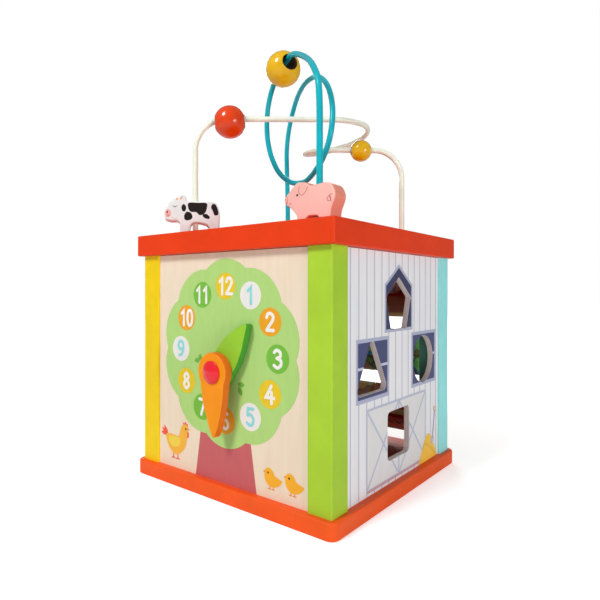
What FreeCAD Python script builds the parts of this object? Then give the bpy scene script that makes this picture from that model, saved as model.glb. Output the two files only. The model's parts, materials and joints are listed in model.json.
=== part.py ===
import FreeCAD, Part
import math
import os

os.makedirs("parts", exist_ok=True)

Vec = FreeCAD.Vector

# Wooden activity cube with a shape-sorting side.  Millimetres, +Z up, origin on the
# underside of the base board at its centre.  Clock side at -Y, sorting side at +X,
# spinning blocks at +Y, painted panel at -X, bead maze on top.

# ---- Driving dimensions ----
CUBE = 200.0                # side of the base and top boards
BASE_T = 12.0               # base board thickness
TOP_T = 17.2                # top board thickness
HEIGHT = 202.0              # up to the top board's upper face
BASE_CORNER, BASE_EDGE = 6.5, 1.3   # base board: upright corners and softened edges
TOP_CORNER, TOP_EDGE = 1.6, 1.0     # top board, which is squarer
POST = 19.35                # square corner post
POST_INSET = 4.35           # post's outer face, in from the board's edge
POST_EDGE = 1.2
PANEL_T = 4.3
PANEL_RECESS = 1.67         # panel's outer face, in from the post's outer face
GROOVE = 4.0                # how deep a panel's edge sits in a post
SEAT_GAP = 0.05             # between the posts' tops and the lift-off top board

WIRE_R = 2.35
WIRE_SEAT = 12.0            # how deep a maze wire stands in the top board
LEG = 65.0                  # maze wire legs, from the cube's axes
HOLE_PLAY = 0.55            # clearance of an animal's hole round its wire

PIVOT_X, PIVOT_Z = 0.3, 96.5        # clock hands' axis on the clock panel
SPINDLE_R = 3.0
RUNNING = 0.06              # radial clearance of whatever turns on a shaft

ROD_R = 2.0
ROD_Y = 82.0
ROD_LEVELS = (43.5, 97.7, 151.9)
ROD_SEAT = 8.0              # how far a rod enters a post
COLLAR_R = 3.6              # spacer collars on the rods
SPINNER_SIDE = 42.0         # side of a spinner block's triangle
SPINNER_CORNER = 1.5
SPINNER_LEN = 46.8
SPINNER_PITCH = 47.4

DOWEL_R = 3.7               # lid's locating dowels
DOWEL_PLAY = 0.3
DOWEL_LEN = 20.0
DOWEL_BELOW = 12.0          # how far a dowel stands down out of the top board
DOWEL_END_GAP = 2.0
SCREW_R = 2.0
SCREW_LEN = 34.0
SCREW_HEAD = 3.0            # height of the countersunk head
SCREW_SUNK = 0.8            # depth of the head below the base's underside

# ---- Places that follow from them ----
POST_OUT = CUBE / 2 - POST_INSET
POST_IN = POST_OUT - POST
POST_MID = (POST_OUT + POST_IN) / 2
PANEL_OUT = POST_OUT - PANEL_RECESS
PANEL_IN = PANEL_OUT - PANEL_T
PANEL_HALF = POST_IN + GROOVE
TOP_Z = HEIGHT - TOP_T      # underside of the top board
POST_TOP = TOP_Z - SEAT_GAP
PANEL_TOP = TOP_Z - 0.4
CORNERS = ((-1, -1), (1, -1), (1, 1), (-1, 1))


def save(name, shape):
    shape.exportStep("parts/" + name + ".step")


# ---- Shape helpers ----
def rounded_path(corners, closed=False):
    """A wire of straight runs joined by tangent arcs.

    Each corner is (point, radius); radius None takes the largest arc its two runs allow.
    """
    count = len(corners)
    starts, ends, arcs = [], [], []
    for i, (point, radius) in enumerate(corners):
        if not closed and i in (0, count - 1):
            starts.append(point)
            ends.append(point)
            arcs.append(None)
            continue
        before = corners[i - 1][0]
        after = corners[(i + 1) % count][0]
        into, out = point - before, after - point
        shorter = min(into.Length, out.Length)
        into.normalize()
        out.normalize()
        half_turn = into.getAngle(out) / 2
        if radius == 0 or half_turn < math.radians(0.5):
            starts.append(point)
            ends.append(point)
            arcs.append(None)
            continue
        limit = 0.48 * shorter / math.tan(half_turn)
        radius = limit if radius is None else min(radius, limit)
        reach = radius * math.tan(half_turn)
        inward = out - into
        inward.normalize()
        middle = point + inward * (radius / math.cos(half_turn) - radius)
        starts.append(point - into * reach)
        ends.append(point + out * reach)
        arcs.append(middle)
    edges = []
    for i in range(count):
        if arcs[i] is not None:
            edges.append(Part.Arc(starts[i], arcs[i], ends[i]).toShape())
        if i < count - 1 or closed:
            a, b = ends[i], starts[(i + 1) % count]
            if (b - a).Length > 1e-6:
                edges.append(Part.LineSegment(a, b).toShape())
    return Part.Wire(edges)


def plate(points, thick, radius):
    """Flat piece cut from a board: outline (u, v) in the XZ plane, thickness along +Y from 0.

    A point is (u, v) or (u, v, own corner radius).
    """
    corners = [(Vec(p[0], 0, p[1]), p[2] if len(p) > 2 else radius) for p in points]
    face = Part.Face(rounded_path(corners, closed=True))
    return face.extrude(Vec(0, thick, 0))


def regular(sides, circum, first_deg=90.0):
    """Corners of a regular polygon, the first one at first_deg."""
    out = []
    for i in range(sides):
        a = math.radians(first_deg + 360.0 * i / sides)
        out.append((circum * math.cos(a), circum * math.sin(a)))
    return out


def soften_faces(shape, radius, keep):
    """Round the edges that keep(edge) picks."""
    return shape.makeFillet(radius, [e for e in shape.Edges if keep(e)])


def edge_span(edge, axis):
    box = edge.BoundBox
    low = (box.XMin, box.YMin, box.ZMin)[axis]
    high = (box.XMax, box.YMax, box.ZMax)[axis]
    return low, high


def flat_at(edge, axis, levels):
    """True for an edge that lies in one of the planes axis = level."""
    low, high = edge_span(edge, axis)
    return high - low < 0.01 and any(abs(low - level) < 0.01 for level in levels)


def rod(radius, length, start, direction):
    return Part.makeCylinder(radius, length, start, direction)


def board(low_z, thick, corner, edge):
    """Square board with round upright corners and softened edges."""
    half = CUBE / 2
    block = Part.makeBox(CUBE, CUBE, thick, Vec(-half, -half, low_z))
    upright = [e for e in block.Edges if edge_span(e, 2)[1] - edge_span(e, 2)[0] > thick / 2]
    block = block.makeFillet(corner, upright)
    return soften_faces(block, edge, lambda e: flat_at(e, 2, (low_z, low_z + thick)))


# ---- Fasteners and holes they need ----
def base_screw(x, y):
    """Countersunk screw up through the base into a post."""
    head = Part.makeCone(SCREW_R * 2, SCREW_R, SCREW_HEAD, Vec(x, y, SCREW_SUNK), Vec(0, 0, 1))
    return head.fuse(rod(SCREW_R, SCREW_LEN, Vec(x, y, SCREW_SUNK), Vec(0, 0, 1)))


def post_centres():
    return [(sx * POST_MID, sy * POST_MID) for sx, sy in CORNERS]


def dowel(x, y):
    """Locating dowel that stands down out of the top board."""
    return rod(DOWEL_R, DOWEL_LEN, Vec(x, y, TOP_Z - DOWEL_BELOW), Vec(0, 0, 1))


def dowel_hole(x, y):
    """Loose hole in a post's top for the dowel."""
    deep = DOWEL_BELOW + DOWEL_END_GAP
    return rod(DOWEL_R + DOWEL_PLAY, deep, Vec(x, y, TOP_Z - deep), Vec(0, 0, 1))


def screws():
    return Part.makeCompound([base_screw(x, y) for x, y in post_centres()])


def dowels():
    return Part.makeCompound([dowel(x, y) for x, y in post_centres()])


# ---- Case ----
def base_board():
    solid = board(0.0, BASE_T, BASE_CORNER, BASE_EDGE)
    for x, y in post_centres():
        well = rod(SCREW_R * 2, SCREW_SUNK, Vec(x, y, 0), Vec(0, 0, 1))
        solid = solid.cut(base_screw(x, y)).cut(well)
    return solid


def panel_slab(axis, side):
    """Space that a panel fills: axis 0 has its face across X, axis 1 across Y."""
    tall = PANEL_TOP - BASE_T
    low = PANEL_IN if side > 0 else -PANEL_OUT
    if axis == 0:
        return Part.makeBox(PANEL_T, 2 * PANEL_HALF, tall, Vec(low, -PANEL_HALF, BASE_T))
    return Part.makeBox(2 * PANEL_HALF, PANEL_T, tall, Vec(-PANEL_HALF, low, BASE_T))


def spinner_rod(level):
    reach = POST_IN + ROD_SEAT
    return rod(ROD_R, 2 * reach, Vec(-reach, ROD_Y, level), Vec(1, 0, 0))


def post(sx, sy):
    low_x = POST_IN if sx > 0 else -POST_OUT
    low_y = POST_IN if sy > 0 else -POST_OUT
    solid = Part.makeBox(POST, POST, POST_TOP - BASE_T, Vec(low_x, low_y, BASE_T))
    upright = [e for e in solid.Edges if edge_span(e, 2)[1] - edge_span(e, 2)[0] > POST]
    solid = solid.makeFillet(POST_EDGE, upright)
    for slab in (panel_slab(0, sx), panel_slab(1, -1)):
        solid = solid.cut(slab)
    x, y = sx * POST_MID, sy * POST_MID
    solid = solid.cut(dowel_hole(x, y)).cut(base_screw(x, y))
    if sy > 0:
        for level in ROD_LEVELS:
            solid = solid.cut(spinner_rod(level))
    return solid


# ---- Sorting side: one hole for each block ----
PENTAGON_R = 22.0
TRIANGLE_R = 27.3
CIRCLE_R = 19.5
SQUARE = 36.6
SORTER_HOLES = {            # centre (y, z) of each hole
    "pentagon": (0.0, 144.0),
    "triangle": (-41.5, 96.7),
    "circle": (45.0, 99.0),
    "square": (0.0, 47.0),
}
BLOCK_T = 30.0
BLOCK_PLAY = 0.6            # between a block and its hole, all round


def shape_prism(kind, thick, shrink=0.0):
    """Prism of a sorting shape about its own centre, thickness along +Y from 0."""
    if kind == "circle":
        return rod(CIRCLE_R - shrink, thick, Vec(0, 0, 0), Vec(0, 1, 0))
    if kind == "pentagon":
        return plate(regular(5, PENTAGON_R - shrink), thick, 1.5)
    if kind == "triangle":
        return plate(regular(3, TRIANGLE_R - 2 * shrink), thick, 4.0)
    half = SQUARE / 2 - shrink
    return plate([(-half, -half), (half, -half), (half, half), (-half, half)], thick, 4.0)


def clock_panel():
    solid = panel_slab(1, -1)
    return solid.cut(rod(SPINDLE_R, 2 * CUBE, Vec(PIVOT_X, -CUBE, PIVOT_Z), Vec(0, 1, 0)))


def sorter_panel():
    solid = panel_slab(0, 1)
    for kind, (y, z) in SORTER_HOLES.items():
        cutter = shape_prism(kind, 4 * PANEL_T)
        cutter.rotate(Vec(0, 0, 0), Vec(0, 0, 1), -90)
        cutter.translate(Vec(PANEL_IN - PANEL_T, y, z))
        solid = solid.cut(cutter)
    return solid


BLOCK_SPOTS = {             # where each loose block stands on the base, inside
    "square": (-48.0, -62.0),
    "circle": (-50.0, -17.0),
    "pentagon": (-2.0, -62.0),
    "triangle": (-4.0, -12.0),
}
FLOOR_GAP = 0.1


def sorter_block(kind):
    solid = shape_prism(kind, BLOCK_T, BLOCK_PLAY)
    rims = (0.0, BLOCK_T)
    solid = soften_faces(solid, 1.0, lambda e: flat_at(e, 1, rims))
    solid.rotate(Vec(0, 0, 0), Vec(1, 0, 0), 90)
    x, y = BLOCK_SPOTS[kind]
    solid.translate(Vec(x, y, BASE_T + FLOOR_GAP))
    return solid


# ---- Clock: distances in front of the panel's face ----
WASHER_T = 0.5
HOUR_LAYER = (0.7, 7.1)
MINUTE_LAYER = (7.5, 14.1)
KNOB_LAYER = (14.4, 17.5)
KNOB_R = 8.3
KNOB_RIM = 0.7              # upright rim round the knob's dome
KNOB_SOCKET = 1.7           # how far the spindle enters the knob
HAND_EDGE = 0.7
HOUR_LEAN = 36.8            # degrees clockwise from twelve
MINUTE_LEAN = -2.4          # degrees clockwise from six


def on_clock(solid, layer_front):
    """Move a piece made about its pivot, its face at y = 0, out in front of the panel."""
    solid.translate(Vec(PIVOT_X, -PANEL_OUT - layer_front, PIVOT_Z))
    return solid


def hand(outline, boss_r, layer):
    thick = layer[1] - layer[0]
    solid = plate(outline, thick, 5.0)
    solid = solid.fuse(rod(boss_r, thick, Vec(0, 0, 0), Vec(0, 1, 0))).removeSplitter()
    solid = soften_faces(solid, HAND_EDGE, lambda e: flat_at(e, 1, (0.0, thick)))
    bore = rod(SPINDLE_R + RUNNING, thick * 3, Vec(0, -thick, 0), Vec(0, 1, 0))
    return on_clock(solid.cut(bore), layer[1])


def minute_hand():
    """Carrot that hangs from its round head."""
    right = [(12.2, -4.0, 1.0), (11.0, -14.5, 60.0), (9.4, -24.0, 40.0), (7.1, -32.0, 40.0),
             (4.0, -41.0, 30.0)]
    tip = [(-0.3, -48.9, 1.6)]
    left = [(-4.2, -41.0, 30.0), (-7.3, -32.0, 40.0), (-9.9, -24.0, 40.0), (-11.6, -14.5, 60.0),
            (-12.7, -4.0, 1.0)]
    solid = hand(right + tip + left, 14.2, MINUTE_LAYER)
    solid.rotate(Vec(PIVOT_X, 0, PIVOT_Z), Vec(0, 1, 0), MINUTE_LEAN)
    return solid


def hour_hand():
    """Teardrop leaf, round end on the pivot."""
    right = [(11.3, 6.0, 2.0), (10.9, 16.0, 30.0), (8.6, 26.0, 40.0)]
    tip = [(0.8, 46.4, 1.4)]
    left = [(-5.2, 37.0, 30.0), (-9.4, 26.0, 30.0), (-11.3, 16.0, 30.0), (-11.3, 6.0, 2.0)]
    solid = hand(right + tip + left, 11.5, HOUR_LAYER)
    solid.rotate(Vec(PIVOT_X, 0, PIVOT_Z), Vec(0, 1, 0), HOUR_LEAN)
    return solid


def clock_spindle():
    shaft_len = PANEL_T + KNOB_LAYER[0] + KNOB_SOCKET
    shaft = rod(SPINDLE_R, shaft_len, Vec(0, 0, 0), Vec(0, -1, 0))
    flange = rod(7.0, 2.0, Vec(0, 0, 0), Vec(0, 1, 0))
    solid = shaft.fuse(flange).removeSplitter()
    solid.translate(Vec(PIVOT_X, -PANEL_IN, PIVOT_Z))
    return solid


def hand_washer():
    disc = rod(6.0, WASHER_T, Vec(0, 0, 0), Vec(0, 1, 0))
    bore = rod(SPINDLE_R, WASHER_T * 3, Vec(0, -WASHER_T, 0), Vec(0, 1, 0))
    return on_clock(disc.cut(bore), WASHER_T)


def clock_knob():
    """Low dome pressed on the spindle's end."""
    tall = KNOB_LAYER[1] - KNOB_LAYER[0]
    rise = tall - KNOB_RIM
    sphere_r = (KNOB_R ** 2 + rise ** 2) / (2 * rise)
    disc = rod(KNOB_R, tall, Vec(0, 0, 0), Vec(0, 1, 0))
    solid = disc.common(Part.makeSphere(sphere_r, Vec(0, sphere_r, 0)))
    socket = rod(SPINDLE_R, KNOB_SOCKET, Vec(0, tall - KNOB_SOCKET, 0), Vec(0, 1, 0))
    return on_clock(solid.cut(socket), KNOB_LAYER[1])


# ---- Spinning blocks at the back ----
def spinner_block(column, level):
    """Triangular prism, one flat outwards, turning on its rod."""
    circum = SPINNER_SIDE / math.sqrt(3)
    solid = plate(regular(3, circum + SPINNER_CORNER, 0.0), SPINNER_LEN, SPINNER_CORNER)
    solid = soften_faces(solid, 1.0, lambda e: flat_at(e, 1, (0.0, SPINNER_LEN)))
    solid = solid.cut(rod(ROD_R + RUNNING, 3 * SPINNER_LEN, Vec(0, -SPINNER_LEN, 0), Vec(0, 1, 0)))
    solid.rotate(Vec(0, 0, 0), Vec(0, 0, 1), -90)
    solid.translate(Vec((column - 1) * SPINNER_PITCH - SPINNER_LEN / 2, ROD_Y, level))
    return solid


def spinner_spacers():
    """Wooden collars that keep the blocks off the posts."""
    outer = 1.5 * SPINNER_PITCH
    rings = []
    for level in ROD_LEVELS:
        for side in (-1, 1):
            start = Vec(side * outer, ROD_Y, level)
            ring = rod(COLLAR_R, POST_IN - outer, start, Vec(side, 0, 0))
            rings.append(ring.cut(spinner_rod(level)))
    return Part.makeCompound(rings)


# ---- Bead maze ----
SEAT_Z = HEIGHT - WIRE_SEAT
CREAM_TOP = 304.3
CREAM_EXIT = 281.5


def teal_route():
    """One upright loop between the front right leg and the back left leg."""
    points = [
        (LEG, -LEG, SEAT_Z), (LEG, -LEG, 288), (64.3, -65.5, 306), (52.9, -56.9, 322.3),
        (34.5, -39.4, 338.5), (14.9, -23.1, 352.2), (2.4, -16, 358.6), (-16.1, -5.9, 356.7),
        (-29.9, 1.2, 350.6), (-39.7, 4.4, 336.2), (-44.1, 5.5, 318), (-43.7, 6, 298.9),
        (-40.4, 7.2, 282.6), (-33, 10.2, 265.1), (-17.9, 11.2, 253.8), (1.2, 6.4, 252.5),
        (20.3, -6.6, 256.9), (35.1, -16.8, 263.2), (44.3, -21.6, 274.2), (47.1, -21.4, 288),
        (45.8, -18.7, 301), (40.8, -13.8, 315.2), (31.5, -6.6, 329.4), (18.4, 3.3, 340.8),
        (2.9, 14.9, 348.4), (-14.7, 26.5, 350.8), (-32.4, 40.7, 349.8), (-47.3, 52.7, 343.1),
        (-58.2, 59.9, 330.1), (-64.4, 63.3, 314), (-66.1, 64.1, 298), (-65.3, 64.7, 262),
        (-LEG, LEG, 240), (-LEG, LEG, SEAT_Z),
    ]
    return [(Vec(*p), None) for p in points]


def cream_route():
    """One level loop between the front left leg and the back right leg."""
    leg_bends = (27.0, 25.0)
    first = [(Vec(-LEG, -LEG, SEAT_Z), 0), (Vec(-LEG, -LEG, CREAM_TOP), leg_bends[0])]
    loop = [
        (30, 13.5, 303.9), (39.1, 26.1, 303.5), (42.1, 41.5, 303.1), (36.7, 54.7, 301.6),
        (25.3, 63.8, 299.6), (10.6, 66.7, 297), (-4, 61, 293.6), (-15.1, 50.2, 289.6),
        (-19.8, 37.4, 286.5), (-14.4, 24.3, 284), (-2.3, 17.1, 282.6), (12, 20, 282),
    ]
    last = [(Vec(LEG, LEG, CREAM_EXIT), leg_bends[1]), (Vec(LEG, LEG, SEAT_Z), 0)]
    return first + [(Vec(*p), None) for p in loop] + last


def wire(route):
    path = rounded_path(route)
    start = route[0][0]
    section = Part.Wire(Part.Circle(start, Vec(0, 0, 1), WIRE_R).toShape())
    solid = path.makePipeShell([section], True, True)
    exact = math.pi * WIRE_R ** 2 * path.Length
    print("wire length %.0f mm, volume %.4f of exact" % (path.Length, solid.Volume / exact))
    return solid


def top_board():
    solid = board(TOP_Z, TOP_T, TOP_CORNER, TOP_EDGE)
    for sx, sy in CORNERS:
        solid = solid.cut(rod(WIRE_R, WIRE_SEAT, Vec(sx * LEG, sy * LEG, SEAT_Z), Vec(0, 0, 1)))
    for x, y in post_centres():
        solid = solid.cut(dowel(x, y))
    return solid


def bead(radius, hole_r, length, centre, axis):
    """Ball drilled along axis, with a flat round each mouth of the hole."""
    direction = Vec(*axis)
    direction.normalize()
    middle = Vec(*centre)
    ball = Part.makeSphere(radius, middle)
    start = middle - direction * (length / 2)
    solid = ball.common(rod(radius * 1.1, length, start, direction))
    bore = rod(hole_r, 4 * radius, middle - direction * (2 * radius), direction)
    return solid.cut(bore)


BEADS = {   # name: radius, hole radius, length, centre, direction of its hole
    "bead_yellow_large": (15.5, 7.0, 28.0, (-14.3, -6.7, 352.8), (0.85, -0.43, 0.09)),
    "bead_red": (14.0, 5.8, 26.8, (-42.0, -46.0, CREAM_TOP - 2.7), (95.0, 78.5, 4.0)),
    "bead_yellow_small": (9.5, 3.6, 17.6, (36.9, 41.1, 281.3), (53.0, 45.0, -0.5)),
}


# ---- Animals that ride up a wire's leg ----
ANIMAL_T = 14.5
ANIMAL_EDGE = 1.2
ANIMAL_GAP = 0.15
COW_TURN = 48.1             # degrees about its wire; the pig stands square to the cube

PIG_OUTLINE = [             # (length, height) from the wire, facing -u
    (-16.0, 0.0, 1.5), (-14.2, 6.5, 6.0), (-20.0, 12.6, 8.0), (-24.4, 15.2, 2.0), (-26.6, 18.6, 2.5),
    (-25.4, 21.6, 2.0), (-19.6, 27.0, 12.0), (-14.8, 30.9, 3.0), (-7.4, 30.2, 4.0), (-3.2, 27.0, 6.0),
    (8.0, 28.2, 14.0), (14.6, 27.0, 7.0), (18.6, 19.0, 10.0), (14.4, 9.4, 8.0), (13.2, 0.0, 1.5),
    (4.6, 0.0, 1.5), (4.2, 5.6, 3.5), (-6.6, 6.0, 3.5), (-7.4, 0.0, 1.5),
]
COW_OUTLINE = [
    (-13.0, 0.0, 1.5), (-13.2, 13.0, 3.0), (-20.0, 12.6, 6.0), (-25.6, 13.6, 3.0), (-26.6, 20.0, 4.0),
    (-21.4, 29.4, 8.0), (-15.4, 32.6, 3.0), (-12.4, 35.2, 2.5), (-8.0, 34.2, 2.5), (-7.2, 29.3, 2.0),
    (17.4, 29.6, 5.0), (20.8, 20.0, 20.0), (20.2, 0.0, 1.5), (12.8, 0.0, 1.5),
    (12.2, 9.2, 6.0), (4.0, 11.4, 8.0), (-3.6, 11.4, 5.0), (-5.2, 0.0, 1.5),
]


def animal(outline, leg_x, leg_y, turn):
    """Board cut-out with an upright hole for its wire, turned about the wire."""
    solid = plate(outline, ANIMAL_T, 3.0)
    solid.translate(Vec(0, -ANIMAL_T / 2, 0))
    rims = (-ANIMAL_T / 2, ANIMAL_T / 2)
    solid = soften_faces(solid, ANIMAL_EDGE, lambda e: flat_at(e, 1, rims))
    bore = rod(WIRE_R + HOLE_PLAY, 60.0, Vec(0, 0, -5.0), Vec(0, 0, 1))
    solid = solid.cut(bore)
    solid.rotate(Vec(0, 0, 0), Vec(0, 0, 1), turn)
    solid.translate(Vec(leg_x, leg_y, HEIGHT + ANIMAL_GAP))
    return solid


def build():
    save("base_board", base_board())
    for name, (sx, sy) in zip(("post_yellow", "post_green", "post_cyan", "post_orange"), CORNERS):
        save(name, post(sx, sy))
    save("base_screws", screws())
    save("clock_panel", clock_panel())
    save("sorter_panel", sorter_panel())
    save("meadow_panel", panel_slab(0, -1))

    save("hand_washer", hand_washer())
    save("clock_spindle", clock_spindle())
    save("hour_hand", hour_hand())
    save("minute_hand", minute_hand())
    save("clock_knob", clock_knob())

    for row, level in enumerate(ROD_LEVELS):
        save("spinner_rod_%d" % (row + 1), spinner_rod(level))
        for column in range(3):
            save("spinner_block_%d%d" % (row + 1, column + 1), spinner_block(column, level))
    save("spinner_spacers", spinner_spacers())

    for kind in SORTER_HOLES:
        save("sorter_block_" + kind, sorter_block(kind))

    save("top_board", top_board())
    save("lid_dowels", dowels())
    save("wire_teal", wire(teal_route()))
    save("wire_cream", wire(cream_route()))
    for name, spec in BEADS.items():
        save(name, bead(*spec))
    save("pig", animal(PIG_OUTLINE, LEG, -LEG, 0.0))
    save("cow", animal(COW_OUTLINE, -LEG, -LEG, COW_TURN))


build()
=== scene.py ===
import bpy
import bmesh
import json
import math
from mathutils import Matrix, Vector
from mathutils.geometry import delaunay_2d_cdt


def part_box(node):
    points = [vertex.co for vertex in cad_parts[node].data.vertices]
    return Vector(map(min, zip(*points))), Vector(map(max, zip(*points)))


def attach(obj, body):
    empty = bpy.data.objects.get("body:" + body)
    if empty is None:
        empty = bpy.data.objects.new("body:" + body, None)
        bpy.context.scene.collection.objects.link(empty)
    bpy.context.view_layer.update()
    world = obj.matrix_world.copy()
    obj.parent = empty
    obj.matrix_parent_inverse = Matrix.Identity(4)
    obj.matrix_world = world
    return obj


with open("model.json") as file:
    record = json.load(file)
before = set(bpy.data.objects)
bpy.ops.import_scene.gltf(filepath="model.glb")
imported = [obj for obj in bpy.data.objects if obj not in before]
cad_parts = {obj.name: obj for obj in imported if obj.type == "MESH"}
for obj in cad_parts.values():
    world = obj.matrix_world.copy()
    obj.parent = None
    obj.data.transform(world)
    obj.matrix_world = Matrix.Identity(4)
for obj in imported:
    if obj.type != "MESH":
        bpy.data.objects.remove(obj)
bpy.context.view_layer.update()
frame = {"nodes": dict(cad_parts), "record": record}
NODES = frame["nodes"]

MM = 0.001


# ---------------------------------------------------------------- colours and materials
def rgb(code):
    """Linear colour of a six-digit display colour."""
    parts = [int(code[i:i + 2], 16) / 255 for i in (0, 2, 4)]
    return tuple(c / 12.92 if c <= 0.04045 else ((c + 0.055) / 1.055) ** 2.4 for c in parts)


def scaled(colour, factor):
    """Brighter or darker colour, kept within white."""
    return tuple(min(1.0, c * factor) for c in colour)


GLOSS_SHARE = 0.013     # white light that a sheen adds to every channel
DARKEST = 0.002         # least light that any channel of a paint gives back


def under_gloss(code):
    """Colour of the paint itself, without its sheen."""
    return tuple(max(DARKEST, c - GLOSS_SHARE) for c in rgb(code))


def new_material(name):
    """A material with its node tree and its Principled shader."""
    material = bpy.data.materials.new(name)
    material.use_nodes = True
    tree = material.node_tree
    shader = tree.nodes["Principled BSDF"]
    return material, tree, shader


def set_sockets(node, values):
    for name, value in values.items():
        node.inputs[name].default_value = value


def object_coords(tree, scale=(1, 1, 1)):
    """Object-space coordinates in metres, times scale on each axis."""
    coords = tree.nodes.new("ShaderNodeTexCoord")
    mapping = tree.nodes.new("ShaderNodeMapping")
    mapping.inputs["Scale"].default_value = scale
    tree.links.new(coords.outputs["Object"], mapping.inputs["Vector"])
    return mapping.outputs["Vector"]


def noise(tree, vector, scale, detail, rough=0.5):
    node = tree.nodes.new("ShaderNodeTexNoise")
    set_sockets(node, {"Scale": scale, "Detail": detail, "Roughness": rough})
    tree.links.new(vector, node.inputs["Vector"])
    return node.outputs["Fac"]


def ramp(tree, value, stops):
    node = tree.nodes.new("ShaderNodeValToRGB")
    elements = node.color_ramp.elements
    while len(elements) < len(stops):
        elements.new(0.5)
    for element, (place, colour) in zip(elements, stops):
        element.position = place
        element.color = (*colour, 1.0)
    tree.links.new(value, node.inputs["Fac"])
    return node.outputs["Color"]


def mottle(tree, value, colour, dark, light, high=0.7):
    """The colour, from dark times to light times its brightness."""
    return ramp(tree, value, [(0.3, scaled(colour, dark)), (high, scaled(colour, light))])


def mix(tree, factor, first, second):
    """Blend of two colours, each a socket or plain numbers."""
    node = tree.nodes.new("ShaderNodeMix")
    node.data_type = "RGBA"
    tree.links.new(factor, node.inputs["Factor"])
    for source, socket in ((first, node.inputs["A"]), (second, node.inputs["B"])):
        if hasattr(source, "links"):
            tree.links.new(source, socket)
        else:
            socket.default_value = (*source, 1.0)
    return node.outputs["Result"]


def dress(tree, shader, tint, height, depth_mm, strength, sockets):
    """Give a shader its colour, its relief and its plain values."""
    tree.links.new(tint, shader.inputs["Base Color"])
    bump = tree.nodes.new("ShaderNodeBump")
    set_sockets(bump, {"Distance": depth_mm * MM, "Strength": strength})
    tree.links.new(height, bump.inputs["Height"])
    tree.links.new(bump.outputs["Normal"], shader.inputs["Normal"])
    set_sockets(shader, sockets)


def compare(tree, value, limit, operation):
    """1 where the comparison with the limit holds, and 0 elsewhere."""
    node = tree.nodes.new("ShaderNodeMath")
    node.operation = operation
    node.inputs[1].default_value = limit
    tree.links.new(value, node.inputs[0])
    return node.outputs[0]


def facing(tree, axis, least):
    """1 where the surface faces along an axis, or back along it if least is negative.

    axis is 0 for X and 1 for Y; least is the part of the normal along it.
    """
    coords = tree.nodes.new("ShaderNodeTexCoord")
    split = tree.nodes.new("ShaderNodeSeparateXYZ")
    tree.links.new(coords.outputs["Normal"], split.inputs["Vector"])
    return compare(tree, split.outputs[axis], least, "GREATER_THAN" if least > 0 else "LESS_THAN")


GRAIN_SCALES = {"x": (14, 260, 260), "z": (260, 260, 14)}      # by the way the grain runs
SIDE_LEAST = 0.72       # part of the normal along Y that still counts as a flat side


def painted_wood(name, code, grain="z", shaded_edge_code=None):
    """Satin paint: faint mottling, and wood grain that just reads through it.

    The optional second colour is a darker copy of the paint for the edges round a flat piece whose sides
    face Y: painted shade on those edges.
    """
    material, tree, shader = new_material(name)
    cloud = noise(tree, object_coords(tree), 38.0, 4.0, 0.6)
    tint = mottle(tree, cloud, under_gloss(code), 0.94, 1.05)
    # Painted shade: the edges get the darker copy of the paint.
    if shaded_edge_code:
        shaded_edge_tint = mottle(tree, cloud, under_gloss(shaded_edge_code), 0.94, 1.05)
        rear_or_shaded_edge = mix(tree, facing(tree, 1, SIDE_LEAST), shaded_edge_tint, tint)
        tint = mix(tree, facing(tree, 1, -SIDE_LEAST), rear_or_shaded_edge, tint)
    fibres = noise(tree, object_coords(tree, GRAIN_SCALES[grain]), 4.0, 5.0, 0.6)
    dress(tree, shader, tint, fibres, 0.05, 0.6, {"Roughness": 0.45, "Specular IOR Level": 0.22})
    return material


def near_axis(tree, node, radius_mm):
    """1 inside the bore of a bead, where painted shade goes: its joint's axis runs along the bore."""
    low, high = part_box(node)
    joint = next(j for j in frame["record"]["behaviour"]["joints"] if j["child"] == node)
    local = NODES[node].matrix_world.inverted()
    steps = (("SUBTRACT", local @ ((low + high) / 2)),
             ("CROSS_PRODUCT", local.to_3x3() @ Vector(joint["axis"])))
    vector = object_coords(tree)
    for operation, operand in steps:
        step = tree.nodes.new("ShaderNodeVectorMath")
        step.operation = operation
        step.inputs[1].default_value = operand
        tree.links.new(vector, step.inputs[0])
        vector = step.outputs["Vector"]
    length = tree.nodes.new("ShaderNodeVectorMath")
    length.operation = "LENGTH"
    tree.links.new(vector, length.inputs[0])
    return compare(tree, length.outputs["Value"], radius_mm * MM, "LESS_THAN")


# Bare wood inside a bead's hole, darkened to dark brown as painted shade.
BORE_SHADE_BROWN = rgb("5c3c14")


def lacquer(name, code, rough=0.35, bore=None):
    """Glossy lacquer on a turned bead or knob; bore is a node and the radius of its hole, mm, where bare
    wood is painted dark brown as shade.
    """
    material, tree, shader = new_material(name)
    cloud = noise(tree, object_coords(tree), 55.0, 3.0)
    tint = mottle(tree, cloud, under_gloss(code), 0.93, 1.06, 0.72)
    if bore:
        # Painted shade: dark brown in and round the bead's hole.
        tint = mix(tree, near_axis(tree, *bore), tint, BORE_SHADE_BROWN)
    orange_peel = noise(tree, object_coords(tree), 420.0, 2.0)
    dress(tree, shader, tint, orange_peel, 0.03, 0.35, {
        "Roughness": rough, "Specular IOR Level": 0.15, "Coat Weight": 0.7, "Coat Roughness": 0.12})
    return material


def coated_wire(name, code):
    """Dipped plastic coat on steel wire: smooth, slightly uneven in gloss."""
    material, tree, shader = new_material(name)
    cloud = noise(tree, object_coords(tree), 70.0, 3.0)
    tint = mottle(tree, cloud, under_gloss(code), 0.93, 1.06)
    waves = noise(tree, object_coords(tree), 240.0, 2.0)
    dress(tree, shader, tint, waves, 0.04, 0.3, {
        "Roughness": 0.32, "Specular IOR Level": 0.2, "Coat Weight": 0.2, "Coat Roughness": 0.12})
    return material


WOOD_LIGHT, WOOD_DARK = rgb("e8cfa3"), rgb("d2b07c")


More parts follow.
